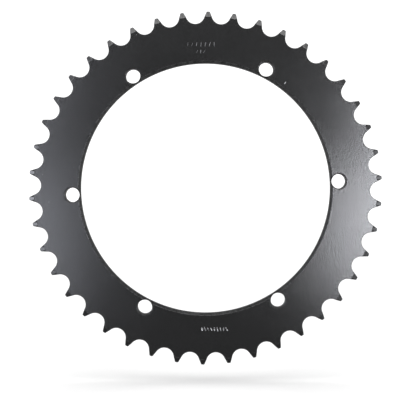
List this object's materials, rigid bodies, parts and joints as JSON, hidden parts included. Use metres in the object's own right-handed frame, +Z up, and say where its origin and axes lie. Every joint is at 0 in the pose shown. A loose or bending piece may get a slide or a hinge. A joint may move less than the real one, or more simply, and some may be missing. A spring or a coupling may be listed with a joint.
{
  "type": "rear chain sprocket",
  "caption": "Flat toothed ring of black-coated steel with a large open bore and a circle of bolt holes, for a motorcycle's rear chain drive.",
  "frame": {"origin": "centre of the hub bore, midway between the two flat faces", "axes": "+Y along the wheel axle, from the front face to the back face; +X and +Z in the plane of the ring, +Z up; the punched marks are on the -Y face, at the top and bottom"},
  "size_m": [0.2172, 0.006, 0.2176],
  "materials": {
    "coated_steel": "satin black coat on steel plate"
  },
  "bodies": {
    "root": {"sprocket_ring": "coated_steel"}
  },
  "joints": []
}
